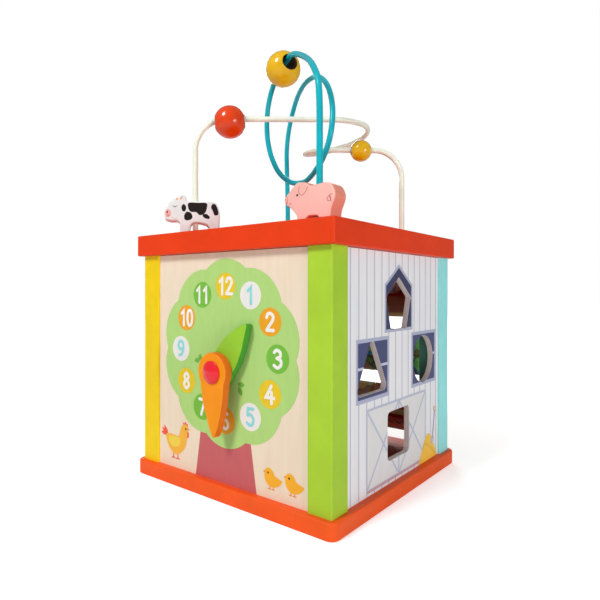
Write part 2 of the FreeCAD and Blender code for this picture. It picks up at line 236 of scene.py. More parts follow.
def bare_wood(name, grain):
    """Sanded wood: long streaks, fine pores."""
    material, tree, shader = new_material(name)
    streaks = noise(tree, object_coords(tree, GRAIN_SCALES[grain]), 1.2, 6.0, 0.65)
    tint = ramp(tree, streaks, [(0.32, WOOD_DARK), (0.6, WOOD_LIGHT)])
    dress(tree, shader, tint, streaks, 0.08, 0.5, {"Roughness": 0.6})
    return material


PLY_LIGHT, PLY_DARK = rgb("fff2f0"), rgb("f2e0de")
# Dark brown for the inner faces of the panels: painted shade of the closed interior.
SHADED_BACKING = rgb("5a3420")
PLY_SCALE = 190.0       # wave scale that gives a ply every 1.65 mm
FACE_LEAST = 0.6        # part of the normal along a board's thin direction that counts as its face


def panel_face(name, code, dark_code, axis, outward, relief=0.04):
    """Thin board: printed outside with faint grain, dark brown inside as painted shade of the closed
    interior, bare plies on its cut edges.

    axis is the panel's thin direction, 0 for X and 1 for Y; outward is 1 or -1 along it.
    """
    material, tree, shader = new_material(name)
    fibres = noise(tree, object_coords(tree, (110, 110, 9)), 2.2, 6.0, 0.62)
    face = ramp(tree, fibres, [(0.3, rgb(dark_code)), (0.62, rgb(code))])
    layers = tree.nodes.new("ShaderNodeTexWave")
    layers.bands_direction = "XY"[axis]
    set_sockets(layers, {"Scale": PLY_SCALE, "Distortion": 0.2})
    tree.links.new(object_coords(tree), layers.inputs["Vector"])
    plies = ramp(tree, layers.outputs["Fac"], [(0.2, PLY_DARK), (0.7, PLY_LIGHT)])
    # Painted shade: the inward faces get the dark brown.
    shaded_inner = mix(tree, facing(tree, axis, -FACE_LEAST * outward), plies, SHADED_BACKING)
    tint = mix(tree, facing(tree, axis, FACE_LEAST * outward), shaded_inner, face)
    dress(tree, shader, tint, fibres, relief, 0.4, {"Roughness": 0.5, "Specular IOR Level": 0.2})
    return material


LEAF, STEM = "6fb345", "5a9a3c"
SUN, TOMATO, COMB = "f2cb2e", "e2452f", "ee5a45"
BEAK, BARK, CREAM, SEPIA = "e98a24", "7a4a2c", "f6efe0", "3a2c22"
INKS = {}           # print materials made so far, by colour


def ink(code):
    """Printed colour, a little uneven like a screen print."""
    if code not in INKS:
        material, tree, shader = new_material("print_" + code)
        cloud = noise(tree, object_coords(tree, (90, 90, 22)), 2.5, 5.0, 0.6)
        tint = mottle(tree, cloud, rgb(code), 0.97, 1.025)
        dress(tree, shader, tint, cloud, 0.02, 0.4, {"Roughness": 0.5, "Specular IOR Level": 0.2})
        INKS[code] = material
    return INKS[code]


def steel(name):
    """Zinc-plated steel with fine scratches along X."""
    material, tree, shader = new_material(name)
    scratches = noise(tree, object_coords(tree, (900, 60, 60)), 3.0, 3.0)
    tint = ramp(tree, scratches, [(0.3, rgb("a9abb0")), (0.7, rgb("cfd1d6"))])
    dress(tree, shader, tint, scratches, 0.02, 0.4, {"Metallic": 1.0, "Roughness": 0.32})
    return material


# ---------------------------------------------------------------- flat print
def arc_points(centre, radius, start, end, count):
    """Points round a circle from angle start to end, degrees."""
    out = []
    for i in range(count + 1):
        a = math.radians(start + (end - start) * i / count)
        out.append((centre[0] + radius * math.cos(a), centre[1] + radius * math.sin(a)))
    return out


def circle(centre, radius, count=56):
    return arc_points(centre, radius, 0, 360, count)[:-1]


def polar(centre, radius, degrees):
    """One point on a circle."""
    return arc_points(centre, radius, degrees, degrees, 1)[0]


def ellipse(centre, half_u, half_v, count=40):
    turns = [2 * math.pi * i / count for i in range(count)]
    return [(centre[0] + half_u * math.cos(a), centre[1] + half_v * math.sin(a)) for a in turns]


def rectangle(u0, v0, u1, v1):
    return [(u0, v0), (u1, v0), (u1, v1), (u0, v1)]


def rounded(points, radius, steps=6):
    """Closed outline with its corners rounded."""
    out = []
    count = len(points)
    for i, p in enumerate(points):
        corner = Vector(p)
        before = Vector(points[i - 1]) - corner
        after = Vector(points[(i + 1) % count]) - corner
        half = before.angle(after) / 2
        reach = min(radius / math.tan(half), 0.48 * min(before.length, after.length))
        r = reach * math.tan(half)
        before.normalize()
        after.normalize()
        a, b = corner + before * reach, corner + after * reach
        middle = corner + (before + after).normalized() * (r / math.sin(half))
        start, end = a - middle, b - middle
        sweep = start.angle_signed(end)
        for k in range(steps + 1):
            turn = Matrix.Rotation(-sweep * k / steps, 2)
            out.append(tuple(middle + turn @ start))
    return out


def smooth(points, closed=False, steps=6):
    """Catmull-Rom curve through the points."""
    count = len(points)
    spans = count if closed else count - 1
    out = []
    for i in range(spans):
        if closed:
            quad = [points[(i + k) % count] for k in (-1, 0, 1, 2)]
        else:
            quad = [points[min(max(i + k, 0), count - 1)] for k in (-1, 0, 1, 2)]
        for k in range(steps):
            t = k / steps
            weights = (
                -0.5 * t + t ** 2 - 0.5 * t ** 3,
                1 - 2.5 * t ** 2 + 1.5 * t ** 3,
                0.5 * t + 2 * t ** 2 - 1.5 * t ** 3,
                -0.5 * t ** 2 + 0.5 * t ** 3,
            )
            out.append(tuple(sum(w * p[c] for w, p in zip(weights, quad)) for c in (0, 1)))
    if not closed:
        out.append(tuple(points[-1]))
    return out


def inside(point, outline):
    """Whether a ray from the point crosses the outline an odd number of times."""
    odd = False
    for i, (u1, v1) in enumerate(outline):
        u0, v0 = outline[i - 1]
        if (v0 > point[1]) != (v1 > point[1]):
            if point[0] < u0 + (point[1] - v0) * (u1 - u0) / (v1 - v0):
                odd = not odd
    return odd


FLAT = 0.06         # thickness of one layer of print, mm
HAIR = 0.003        # gap between shapes of one level, so that their faces never coincide, mm
HAIRS = 12          # shapes before the gaps start again
CLIMB = 0.02        # rise of a line along its length, mm


class Print:
    """One piece made of flat closed shapes, in mm on a face of the object."""

    def __init__(self, name):
        self.name = name
        self.mesh = bmesh.new()
        self.materials = []
        self.laid = 0

    def next_height(self, level):
        """Underside of the next shape, mm: shapes of one level lie a hair apart."""
        self.laid += 1
        return level * FLAT + self.laid % HAIRS * HAIR

    def patch(self, outline, material, level=0, holes=()):
        """Filled outline, cut away wherever a hole covers it."""
        coords, edges = [], []
        for loop in (outline, *holes):
            first, count = len(coords), len(loop)
            coords += [Vector(p) for p in loop]
            edges += [(first + i, first + (i + 1) % count) for i in range(count)]
        corners, _, triangles, *_ = delaunay_2d_cdt(coords, edges, [], 0, 1e-4)
        keep = []
        for triangle in triangles:
            middle = sum((corners[i] for i in triangle), Vector((0, 0))) / 3
            if inside(middle, outline) and not any(inside(middle, hole) for hole in holes):
                keep.append(triangle)
        part = bmesh.new()
        height = self.next_height(level)
        low = [part.verts.new((c.x, c.y, height)) for c in corners]
        high = [part.verts.new((c.x, c.y, height + FLAT)) for c in corners]
        sides = {(t[i - 1], t[i]) for t in keep for i in range(3)}
        for a, b, c in keep:
            part.faces.new((high[a], high[b], high[c]))
            part.faces.new((low[c], low[b], low[a]))
        for a, b in sides:
            if (b, a) not in sides:
                part.faces.new((low[a], low[b], high[b], high[a]))
        loose = [v for v in part.verts if not v.link_faces]
        bmesh.ops.delete(part, geom=loose, context="VERTS")
        bmesh.ops.recalc_face_normals(part, faces=part.faces)
        self._take(part, material)

    def bar(self, start, end, width, material, level, holes=()):
        """Straight line with square ends, cut away wherever a hole covers it."""
        a, b = Vector(start), Vector(end)
        side = (b - a).orthogonal().normalized() * (width / 2)
        self.patch([a - side, b - side, b + side, a + side], material, level, holes)

    def ribbon(self, points, width, material, level=0, closed=False):
        """Line of constant width with round ends; it climbs a little, so that it can cross itself."""
        pts = [Vector(p) for p in points]
        count = len(pts)
        half = width / 2
        left, right = [], []
        for i, p in enumerate(pts):
            ahead = pts[(i + 1) % count] if closed or i < count - 1 else p
            behind = pts[i - 1] if closed or i > 0 else p
            a, b = (p - behind), (ahead - p)
            a = a.normalized() if a.length else b.normalized()
            b = b.normalized() if b.length else a
            way = (a + b).normalized()
            across = Vector((-way.y, way.x))
            stretch = half / max(0.5, across.dot(Vector((-b.y, b.x))))
            left.append(p + across * stretch)
            right.append(p - across * stretch)
        quads = [(i, (i + 1) % count) for i in range(count if closed else count - 1)]
        part = bmesh.new()
        height = self.next_height(level)
        rows = {}
        for key, line in (("l", left), ("r", right)):
            for tag, base in (("b", height), ("t", height + FLAT)):
                rows[key + tag] = [part.verts.new((q.x, q.y, base + CLIMB * i / count))
                                   for i, q in enumerate(line)]
        for i, j in quads:
            part.faces.new((rows["lt"][i], rows["rt"][i], rows["rt"][j], rows["lt"][j]))
            part.faces.new((rows["lb"][i], rows["lb"][j], rows["rb"][j], rows["rb"][i]))
            part.faces.new((rows["lt"][i], rows["lt"][j], rows["lb"][j], rows["lb"][i]))
            part.faces.new((rows["rt"][i], rows["rb"][i], rows["rb"][j], rows["rt"][j]))
        if not closed:
            for end in (0, count - 1):
                self._cap(part, rows, pts[end], end)
        bmesh.ops.recalc_face_normals(part, faces=part.faces)
        self._take(part, material)

    @staticmethod
    def _cap(part, rows, centre, end):
        """Half-round end of a line."""
        spoke = rows["lt"][end].co.xy - centre
        low, high = rows["lb"][end].co.z, rows["lt"][end].co.z
        direction = 1 if end == 0 else -1
        arc = []
        for k in range(1, 8):
            turn = Matrix.Rotation(direction * math.pi * k / 8, 2)
            arc.append(centre + turn @ spoke)
        top = [part.verts.new((q.x, q.y, high)) for q in arc]
        bottom = [part.verts.new((q.x, q.y, low)) for q in arc]
        ring_t = [rows["lt"][end], *top, rows["rt"][end]]
        ring_b = [rows["lb"][end], *bottom, rows["rb"][end]]
        part.faces.new(ring_t)
        part.faces.new(list(reversed(ring_b)))
        for i in range(len(ring_t) - 1):
            part.faces.new((ring_t[i], ring_b[i], ring_b[i + 1], ring_t[i + 1]))

    def _take(self, part, material):
        """Add one finished shape to the piece's mesh."""
        if material not in self.materials:
            self.materials.append(material)
        for face in part.faces:
            face.material_index = self.materials.index(material)
        holder = bpy.data.meshes.new("part")
        part.to_mesh(holder)
        part.free()
        self.mesh.from_mesh(holder)
        bpy.data.meshes.remove(holder)

    def place(self, matrix, body, slot):
        """Put the piece on its face and let it ride on a body."""
        mesh = bpy.data.meshes.new(self.name)
        self.mesh.to_mesh(mesh)
        self.mesh.free()
        for material in self.materials:
            mesh.materials.append(material)
        mesh.transform(matrix)
        piece = bpy.data.objects.new(self.name, mesh)
        bpy.context.scene.collection.objects.link(piece)
        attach(piece, body)


def face_matrix(origin, right, up):
    """Matrix from (u, v, height) in mm on a face to the object's metres."""
    out = right.cross(up)
    matrix = Matrix.Identity(4)
    for column, axis in enumerate((right, up, out)):
        for row in range(3):
            matrix[row][column] = axis[row] * MM
    for row in range(3):
        matrix[row][3] = origin[row]
    return matrix


# ---------------------------------------------------------------- measures read from the frame
CLOCK_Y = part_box("clock_panel")[0].y
SORTER_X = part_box("sorter_panel")[1].x
MEADOW_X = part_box("meadow_panel")[0].x
FLOOR_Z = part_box("base_board")[0].z
TOP_OF_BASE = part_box("base_board")[1].z / MM
TOP_OF_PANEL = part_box("clock_panel")[1].z / MM
HALF_PANEL = 76.2               # visible half width of a panel between the posts, mm

X, Y, Z = Vector((1, 0, 0)), Vector((0, 1, 0)), Vector((0, 0, 1))
CLOCK_FACE = face_matrix(Vector((0, CLOCK_Y, 0)), X, Z)
SORTER_FACE = face_matrix(Vector((SORTER_X, 0, 0)), Y, Z)
MEADOW_FACE = face_matrix(Vector((MEADOW_X, 0, 0)), -Y, Z)


# ---------------------------------------------------------------- clock side
TREE = (0.5, 109.0)             # centre of the tree's crown and of the dial, mm
NOTCH_R, PEAK_R = 66.0, 70.5    # crown's radius between its lobes and at their tops
LOBES = 10
DIAL_R, DISC_R = 50.0, 10.0     # ring of the number discs, and one disc


def tree_outline():
    """Ten round lobes: each is the arc through two notches and the peak between them."""
    half = math.pi / LOBES
    chord, rise = NOTCH_R * math.sin(half), PEAK_R - NOTCH_R * math.cos(half)
    radius = (chord ** 2 + rise ** 2) / (2 * rise)
    spread = math.degrees(math.asin(chord / radius))
    out = []
    for k in range(LOBES):
        lean = 90 + 360 / LOBES * k
        centre = polar(TREE, PEAK_R - radius, lean)
        out += arc_points(centre, radius, lean - spread, lean + spread, 14)[:-1]
    return out


GLYPHS = {      # strokes about the centre of a 7 by 12 mm box: kind and points
    "0": [("loop", [(3, 0), (2.2, 4.4), (0, 6), (-2.2, 4.4), (-3, 0), (-2.2, -4.4), (0, -6), (2.2, -4.4)])],
    "1": [("line", [(-2.2, 3.2), (0.6, 5.8), (0.6, -6)])],
    "2": [("curve", [(-3, 3.2), (-1.8, 5.5), (0.6, 5.9), (2.9, 3.8), (1.9, 0.6), (-3, -5.6)]),
          ("line", [(-3, -5.7), (3.2, -5.7)])],
    "3": [("curve", [(-2.9, 4.4), (-0.6, 6), (2.4, 4.6), (2.2, 1.6), (-0.6, 0.5)]),
          ("curve", [(-0.6, 0.5), (2.8, -0.8), (2.9, -4), (0, -6), (-3.1, -4.6)])],
    "4": [("line", [(1.2, 5.9), (-3.5, -2.2), (3.6, -2.2)]), ("line", [(1.4, 1.6), (1.4, -6)])],
    "5": [("line", [(2.8, 5.8), (-2.1, 5.8), (-2.5, 0.8)]),
          ("curve", [(-2.5, 0.8), (0.3, 1.6), (2.9, -0.8), (2.4, -4.6), (-0.4, -6), (-3.1, -4.6)])],
    "6": [("curve", [(2.2, 5.3), (-0.6, 4.6), (-2.8, 0.6), (-2.6, -4), (0, -6), (2.7, -4.2),
                     (2.5, -0.9), (0, 0.6), (-2.4, -0.8)])],
    "7": [("line", [(-3.1, 5.8), (3.1, 5.8), (-1, -6)])],
    "8": [("loop", [(2.4, 3.2), (0, 6), (-2.4, 3.2), (0, 0.4)]),
          ("loop", [(2.9, -2.9), (0, 0.4), (-2.9, -2.9), (0, -6)])],
}
GLYPHS["9"] = [(kind, [(-u, -v) for u, v in points]) for kind, points in GLYPHS["6"]]
STROKE = 2.4
PITCH, SQUEEZE = 7.7, 0.92      # of the digits in a number with two


def number(art, text, centre, material, level):
    """Rounded digits centred on a disc."""
    pitch, squeeze = (PITCH, SQUEEZE) if len(text) == 2 else (0, 1.0)
    start = centre[0] - pitch * (len(text) - 1) / 2
    for i, digit in enumerate(text):
        for kind, points in GLYPHS[digit]:
            moved = [(start + pitch * i + u * squeeze, centre[1] + v) for u, v in points]
            if kind != "line":
                moved = smooth(moved, closed=kind == "loop")
            art.ribbon(moved, STROKE, material, level, closed=kind == "loop")


def leaf_shape(root, tip, half_width):
    """Pointed oval between two points."""
    a, b = Vector(root), Vector(tip)
    side = (b - a).orthogonal().normalized() * half_width
    middle = (a + b) / 2
    near, far = a + (middle - a) * 0.5, middle + (b - middle) * 0.55
    one = smooth([a, near + side * 0.85, middle + side, far + side * 0.7, b])
    two = smooth([b, far - side * 0.7, middle - side, near - side * 0.85, a])
    return one + two[1:-1]


WHITE_DISC = "ebe7e3"
DISC_COLOURS = ["e8c628", WHITE_DISC, "eca424", "76bc40"] * 3     # from 12 o'clock round


def clock_dial():
    art = Print("clock_tree")
    trunk = [(-31.8, TOP_OF_BASE), (31.5, TOP_OF_BASE), (25.0, 52.0), (-25.6, 52.0)]
    art.patch(trunk, ink("c66266"))
    art.patch(tree_outline(), ink("b0d67c"), 1)
    leaf = ink(LEAF)
    for root, tip in (((-27.1, 101.6), (-26.7, 106.4)), ((-27.3, 101.4), (-33.3, 101.0)),
                      ((13.2, 87.6), (20.2, 87.6)), ((14.0, 85.8), (17.4, 79.6))):
        art.patch(leaf_shape(root, tip, 1.9), leaf, 2)
    art.place(CLOCK_FACE, "case", "leaf_green")

    dial = Print("clock_numbers")
    for hour, code in enumerate(DISC_COLOURS):
        centre = polar(TREE, DIAL_R, 90 - 30 * hour)
        dial.patch(circle(centre, DISC_R), ink(code), 2)
        digits = "8fd8dc" if code == WHITE_DISC else "f3efe9"
        number(dial, str(hour or 12), centre, ink(digits), 3)
    dial.place(CLOCK_FACE, "case", "panel_wood")


def farm_birds():
    hen = Print("print_hen")
    red = ink(COMB)
    tail = [(-66.5, 37), (-71, 36.2), (-74, 38.2), (-71.8, 39.4), (-73.6, 42), (-70.6, 41.6),
            (-70.6, 44.4), (-67.6, 42), (-66, 40)]
    hen.patch(smooth(tail, True, 4), red)
    comb = [(-46.4, 47), (-46.8, 50), (-45, 49.4), (-44, 51), (-42.8, 49.3), (-41.4, 49.4), (-42, 47)]
    hen.patch(smooth(comb, True, 4), red)
    hen.patch(ellipse((-41.2, 40.8), 1.2, 2.6), red)
    body = [(-67.6, 37.6), (-60, 38.4), (-52.8, 38), (-50.6, 42.6), (-48.4, 47), (-44.4, 48.8),
            (-41, 46.8), (-41.8, 43), (-42.4, 37), (-45, 29.6), (-50.6, 24.4), (-56.4, 22.8),
            (-62.6, 25.8), (-66.8, 31.8)]
    hen.patch(smooth(body, True), ink("f4b340"), 1)
    hen.patch([(-41.6, 46.4), (-39.2, 45), (-41.6, 44)], ink("f0862c"), 1)
    wing = [(-64.8, 36.6), (-50.4, 37.2), (-50, 32.6), (-53.2, 29.4), (-59.4, 28.2), (-64, 31.2)]
    hen.patch(rounded(wing, 1.6), ink("efd24c"), 2)
    hen.patch(circle((-43.6, 45.2), 0.85, 20), ink(SEPIA), 2)
    for foot in (-58.6, -53.2):
        hen.ribbon([(foot, 24.2), (foot, 20.2)], 1.2, red)
        hen.ribbon([(foot - 1.8, 19.3), (foot, 20.2), (foot + 1.6, 19.3)], 1.1, red)
    hen.place(CLOCK_FACE, "case", "bead_yellow")

    chicks = Print("print_chicks")
    gold, dark = ink("f5b02d"), ink(SEPIA)
    for shift in (0.0, 18.4):       # the second chick stands this far to the right
        body = [(38.8, 29.4), (40.2, 32.4), (43.4, 33.4), (46.6, 31.4), (48, 28.8), (51.4, 27.6),
                (54.6, 26.2), (52.2, 23), (48, 20.8), (43.4, 20.9), (40, 23.6), (38.9, 26.6)]
        chicks.patch(smooth([(u + shift, v) for u, v in body], True, 4), gold, 1)
        chicks.patch([(39.4 + shift, 31), (37.4 + shift, 30.2), (39.2 + shift, 29.2)], ink(BEAK), 1)
        chicks.patch(circle((42.2 + shift, 30), 0.75, 16), dark, 2)
        for foot in (43.6, 46.8):
            base = foot + shift
            chicks.ribbon([(base, 21.4), (base, 19.2)], 0.7, ink(BEAK))
            chicks.ribbon([(base - 1.2, 18.9), (base + 1, 18.9)], 0.7, ink(BEAK))
    chicks.place(CLOCK_FACE, "case", "bead_yellow")


# ---------------------------------------------------------------- sorting side
HOLES = {       # centre, and outline about it, as cut in the panel, mm
    "pentagon": ((0.0, 144.0), rounded(arc_points((0, 0), 22.0, 90, 450, 5)[:-1], 1.5)),
    "triangle": ((-41.5, 96.7), rounded(arc_points((0, 0), 27.3, 90, 450, 3)[:-1], 4.0)),
    "circle": ((45.0, 99.0), circle((0, 0), 19.5, 72)),
    "square": ((0.0, 47.0), rounded(rectangle(-18.3, -18.3, 18.3, 18.3), 4.0)),
}
HOLE_MARGIN = 0.15      # print stops this far from a hole's edge, mm


def hole_outline(kind):
    (u, v), points = HOLES[kind]
    out = []
    for p in points:
        q = Vector(p)
        q += q.normalized() * HOLE_MARGIN
        out.append((u + q.x, v + q.y))
    return out


WINDOWS = {     # glass outline, outer frame outline, height of the glazing bar, glass colour
    "pentagon": ([(-21, 127), (21.7, 127), (21.7, 159.2), (0, 173.3), (-21, 159.2)],
                 [(-23, 124.6), (23.9, 124.6), (23.9, 160.4), (0, 176), (-23, 160.4)], 149.5, "3f4262"),
    "triangle": (rectangle(-61.6, 80.8, -19, 119.7), rectangle(-63.8, 78, -16.6, 122.3), 102, "4c5078"),
    "circle": (rectangle(24.7, 80.3, 68, 119.7), rectangle(22.2, 77.6, 70.4, 122.3), 102, "4f5279"),
}
DOORS = rectangle(-49.4, 15.6, 49.6, 72.0)
LILAC = "b4b8d0"
PLANK_LINES = [-71.2 + 10.95 * k for k in range(14)]
EDGE_GAP = 0.2          # between a print and the board next to it, mm


def sorter_print():
    holes = {kind: hole_outline(kind) for kind in HOLES}
    planks = Print("barn_planks")
    covers = [*holes.values(), DOORS] + [frame_outline for _, frame_outline, _, _ in WINDOWS.values()]
    for u in PLANK_LINES:
        planks.bar((u, TOP_OF_BASE + EDGE_GAP), (u, TOP_OF_PANEL - EDGE_GAP), 0.9, ink("b3afc4"), 0, covers)
    planks.place(SORTER_FACE, "case", "panel_grey")

    panes = Print("barn_windows")
    for kind, (glass, frame_outline, bar, code) in WINDOWS.items():
        cut = [holes[kind]]
        panes.patch(glass, ink(code), 0, cut)
        panes.patch(frame_outline, ink(LILAC), 1, [glass, *cut])
        u0, u1 = glass[0][0], glass[1][0]
        panes.bar((u0, bar), (u1, bar), 1.9, ink("c9cde0"), 1, cut)
    panes.place(SORTER_FACE, "case", "panel_grey")

    doors = Print("barn_doors")
    cut = [holes["square"]]
    doors.patch(DOORS, ink("e4e3e3"), 0, cut)
    door_line = ink("bfc3d6")
    (u0, v0), (u1, v1) = DOORS[0], DOORS[2]
    crossings = [((u0, v1), (0, v0)), ((u0, v0), (0, v1)), ((0, v1), (u1, v0)), ((0, v0), (u1, v1))]
    edges = list(zip(DOORS, DOORS[1:] + DOORS[:1]))
    for start, end in crossings + edges + [((0, v0), (0, v1))]:
        doors.bar(start, end, 1.7, door_line, 1, cut)
    doors.bar((u0, v0 - 0.6), (u1, v0 - 0.6), 1.8, ink("c9a3b0"), 2)
    doors.place(SORTER_FACE, "case", "panel_grey")

    hay = Print("print_haystack")
    low = TOP_OF_BASE + EDGE_GAP
    mound = smooth([(35.4, low), (40, 19), (46, 27.4), (51, 33), (55, 34.4), (59.6, 32.4),
                    (64.4, 26.6), (69.6, 18.6), (74.2, low)])
    hay.patch(mound, ink("fccb4a"), 3)
    for k in range(34):             # short straws, spread evenly under the mound's outline
        u = 39 + 32 * ((k * 0.618) % 1.0)
        room = 20.5 - 0.055 * (u - 55) ** 2
        v = low + 1.2 + max(0.5, room - 3.5) * ((k * 0.383 + 0.11) % 1.0)
        tip = polar((u, v), 2.2, 50 + 80 * ((k * 0.754) % 1.0))
        hay.ribbon([(u, v), tip], 0.35, ink("d8a02c" if k % 2 else "f8dc84"), 4)
    hay.place(SORTER_FACE, "case", "block_yellow")

    spade = Print("print_spade")
    spade.ribbon([(68.4, 50), (64.2, 29)], 1.1, ink("aaa4b8"), 5)
    blade = rounded([(60.4, 31.4), (66.8, 29.6), (65.2, 24.4), (62.6, 23.2), (60.6, 25.8)], 1.2)
    spade.patch(blade, ink("c9c8d2"), 5)
    grip = rounded([(66, 55.6), (71, 54.2), (68.6, 50)], 0.8, 4)
    spade.ribbon(grip, 1.1, ink("d9bd96"), 5, closed=True)
    spade.place(SORTER_FACE, "case", "panel_grey")


# ---------------------------------------------------------------- hidden side: a meadow
def meadow_print():
    low, half = TOP_OF_BASE + EDGE_GAP, HALF_PANEL
    hills = Print("meadow_hills")
    back = smooth([(-half, 70), (-50, 82), (-20, 74), (14, 60), (44, 66), (half, 84)])
    hills.patch([(-half, low), *back, (half, low)], ink("b5d884"), 0)
    front = smooth([(-half, 44), (-44, 40), (-8, 50), (30, 42), (half, 34)])
    hills.patch([(-half, low), *front, (half, low)], ink("93c65e"), 1)
    hills.place(MEADOW_FACE, "case", "leaf_green")

    sky = Print("meadow_sky")
    sun, centre = ink(SUN), (-38.0, 142.0)
    sky.patch(circle(centre, 15), sun)
    for k in range(12):
        sky.ribbon([polar(centre, r, 30 * k + 8) for r in (18.5, 24.0)], 2.4, sun)
    for u, v, size in ((26, 152, 1.0), (-8, 118, 0.7), (52, 122, 0.62)):
        puffs = [(-15, -2), (-16, 5), (-8, 8), (-3, 12), (6, 11), (9, 6), (17, 5), (17, -2)]
        sky.patch(smooth([(u + a * size, v + b * size) for a, b in puffs], True), ink("f4f4f2"))
    sky.place(MEADOW_FACE, "case", "panel_sky")

    fence = Print("meadow_fence")
    white = ink("f1ede4")
    for rail in (50.0, 60.0):
        fence.ribbon([(-half + 2, rail), (half - 2, rail)], 2.6, white, 2)
    for k in range(10):
        u = -67.5 + 15.0 * k
        picket = [(u - 2.6, 42), (u + 2.6, 42), (u + 2.6, 67), (u, 71), (u - 2.6, 67)]
        fence.patch(rounded(picket, 0.6, 3), white, 3)
    fence.place(MEADOW_FACE, "case", "cow_white")

    flowers = Print("meadow_flowers")
    stem = ink(STEM)
    for k, code in enumerate((COMB, SUN, "f3a0b4", "eca424", COMB, SUN)):
        u, v = -60.0 + 24.0 * k, 30.0 + 5.0 * math.sin(2.1 * k)
        flowers.ribbon([(u, low + 1.5), (u + 0.6, v)], 1.3, stem, 4)
        flowers.patch(leaf_shape((u, low + 4), (u + 7, v - 5), 1.7), stem, 4)
        flowers.patch(leaf_shape((u, low + 3), (u - 6.5, v - 7), 1.7), stem, 4)
        for petal in range(6):
            spot = polar((u + 0.6, v), 4.4, 60 * petal + 15)
            flowers.patch(circle(spot, 2.9, 20), ink(code), 5 + petal % 3)
        flowers.patch(circle((u + 0.6, v), 2.7, 24), ink(BARK), 8)
    flowers.place(MEADOW_FACE, "case", "block_red")


# ---------------------------------------------------------------- pictures on the spinning blocks
TILE_U, TILE_V = 22.2, 19.0     # half length and half width of a picture, mm


def sun_icon(art):
    gold = ink(SUN)
    art.patch(circle((0, 0), 7), gold, 1)
    for k in range(10):
        art.ribbon([polar((0, 0), r, 36 * k) for r in (9.6, 13)], 1.8, gold, 1)


def flower_icon(art):
    for k in range(6):
        art.patch(circle(polar((0, 0), 6.6, 60 * k), 4.4, 28), ink("f08aa4"), 1 + k % 3)
    art.patch(circle((0, 0), 4.2, 28), ink(SUN), 4)


def apple_icon(art):
    body = [(0, 7), (5, 9), (10, 4), (9, -5), (4, -11), (0, -9.8), (-4, -11), (-9, -5), (-10, 4), (-5, 9)]
    art.patch(smooth(body, True), ink(TOMATO), 1)
    art.ribbon(smooth([(0, 7), (0.6, 10), (2, 13)]), 1.3, ink(BARK), 2)
    art.patch(leaf_shape((1.5, 10.5), (9, 13.5), 2.3), ink(LEAF), 2)


def carrot_icon(art):
    root = [(-5.4, 5), (5.4, 5), (3.2, -5), (0.5, -13.4), (-0.5, -13.4), (-3.2, -5)]
    art.patch(rounded(root, 2.0), ink("f28b24"), 1)
    for tip in ((-6, 13), (0, 15), (6, 13)):
        art.patch(leaf_shape((0, 4), tip, 2.0), ink(LEAF), 2)
    for v, u0, u1 in ((1, -4, -0.64), (-4, -3.5, -1.76)):
        art.ribbon([(u0, v), (u1, v)], 0.7, ink("cf6a14"), 2)


def tulip_icon(art):
    art.ribbon([(0, -13), (0, 2)], 1.5, ink(STEM), 1)
    for u in (-8, 8):
        art.patch(leaf_shape((0, -12), (u, 0), 2.3), ink(STEM), 1)
    cup = [(-6, 12), (-3, 8), (0, 13), (3, 8), (6, 12), (6, 4), (0, -0.5), (-6, 4)]
    art.patch(rounded(cup, 1.6), ink(COMB), 2)


def clover_icon(art):
    art.ribbon(smooth([(0, 0), (1, -6), (4, -12)]), 1.5, ink("4f8f38"), 1)
    for k in range(4):
        art.patch(circle(polar((0, 1), 5.4, 90 * k + 45), 4.8, 28), ink(LEAF), 2 + k % 2)


def egg_icon(art):
    shell = [(0, 12), (6.4, 6), (8.6, -3), (5, -9.8), (0, -11.6), (-5, -9.8), (-8.6, -3), (-6.4, 6)]
    art.patch(smooth(shell, True), ink(CREAM), 1)
    zigzag = [(-7.4, 0), (-4.6, 3), (-1.8, 0), (1, 3), (3.8, 0), (6.8, 2.6)]
    art.ribbon(zigzag, 1.1, ink(BEAK), 2)


def star_icon(art):
    points = [polar((0, 0), 6.2 if k % 2 else 13.0, 90 + 36 * k) for k in range(10)]
    art.patch(rounded(points, 1.2, 4), ink(TOMATO), 1)


def mushroom_icon(art):
    stalk = [(-3.4, 0), (3.4, 0), (4.4, -11.5), (-4.4, -11.5)]
    art.patch(rounded(stalk, 1.8), ink("f3e7d2"), 1)
    cap = [(-12, -0.5), (-9.6, 6.6), (-3.6, 11), (3.6, 11), (9.6, 6.6), (12, -0.5)]
    art.patch(rounded(smooth(cap), 0.8, 3), ink(TOMATO), 2)
    for u, v, r in ((-5.2, 3.6, 1.8), (1.4, 7, 1.7), (6, 2.6, 1.5)):
        art.patch(circle((u, v), r, 20), ink(CREAM), 3)


def tiger_icon(art):
    for u, lean in ((-19, 3), (-12, 5), (-5, 4), (2, 6), (9, 4), (15, 5)):
        for top in (18.0, -1.0):
            stripe = [(u - 1.6, top), (u + 2.2, top), (u + lean - 1.4, top - 15)]
            art.patch(rounded(stripe, 0.5, 3), ink("241410"), 1)


def band_icon(art):
    art.patch(rectangle(-TILE_U, 12.0, TILE_U, TILE_V), ink("ffb04c"), 1)
    for k in range(9):
        art.patch(circle((-20 + 5 * k, 4.5 - 9 * (k % 2)), 0.9, 14), ink("8a2c14"), 1)


def leaves_icon(art):
    for k in range(5):
        u = -18.5 + 8.2 * k
        art.patch(leaf_shape((u, -17), (u + 6, 2), 3.2), ink("5fae3a"), 1 + k % 2)
        art.patch(leaf_shape((u + 4, -1), (u - 1, 17), 3.0), ink("3f8a2c"), 1 + k % 2)


def crate_icon(art):
    art.patch(rectangle(-TILE_U, -TILE_V, TILE_U, -14.5), ink("ffe6c4"), 1)
    art.patch(rounded([(-18, -17), (-8, -17.5), (-7, -8), (-17, -7)], 1.5), ink("ffcc3a"), 2)
    art.patch(rounded([(-5, -13), (22, -13), (22, 19), (2, 19)], 1.0), ink("8e3a1e"), 1)


